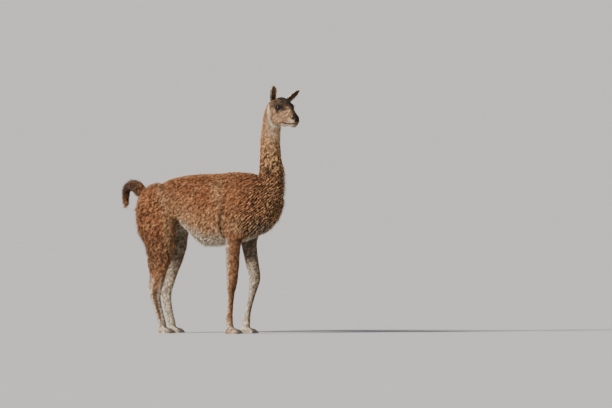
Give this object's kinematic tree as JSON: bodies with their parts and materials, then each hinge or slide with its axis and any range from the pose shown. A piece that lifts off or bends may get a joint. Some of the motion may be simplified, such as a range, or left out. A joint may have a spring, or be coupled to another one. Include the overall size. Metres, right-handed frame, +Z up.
{
  "type": "guanaco",
  "caption": "Life-size standing guanaco as a still museum model, long neck upright, head turned to its right, on four flat-soled feet.",
  "frame": {"origin": "on the floor under the middle of the animal's bounding box", "axes": "+X towards the chest, +Y to the animal's left, +Z up"},
  "size_m": [1.3346, 0.3947, 1.6901],
  "materials": {
    "crown_fur": "short dark grey fur",
    "neck_wool": "sandy brown wool",
    "body_wool": "rust brown wool, white below",
    "tail_wool": "dark brown wool",
    "leg_fur": "short brown fur, pale inside",
    "ear_fur": "short dark grey fur with pale edges",
    "eye": "wet dark brown",
    "nail": "dark horn"
  },
  "bodies": {
    "root": {"head": "crown_fur", "neck": "neck_wool", "torso": "body_wool", "tail": "tail_wool", "foreleg_upper_right": "leg_fur", "foreleg_upper_left": "leg_fur", "foreleg_lower_right": "leg_fur", "foreleg_lower_left": "leg_fur", "hindleg_upper_right": "leg_fur", "hindleg_upper_left": "leg_fur", "hindleg_lower_right": "leg_fur", "hindleg_lower_left": "leg_fur", "ear_right": "ear_fur", "ear_left": "ear_fur", "eye_right": "eye", "eye_left": "eye", "nail_fore_right_inner": "nail", "nail_fore_right_outer": "nail", "nail_fore_left_inner": "nail", "nail_fore_left_outer": "nail", "nail_hind_right_inner": "nail", "nail_hind_right_outer": "nail", "nail_hind_left_inner": "nail", "nail_hind_left_outer": "nail"}
  },
  "joints": []
}
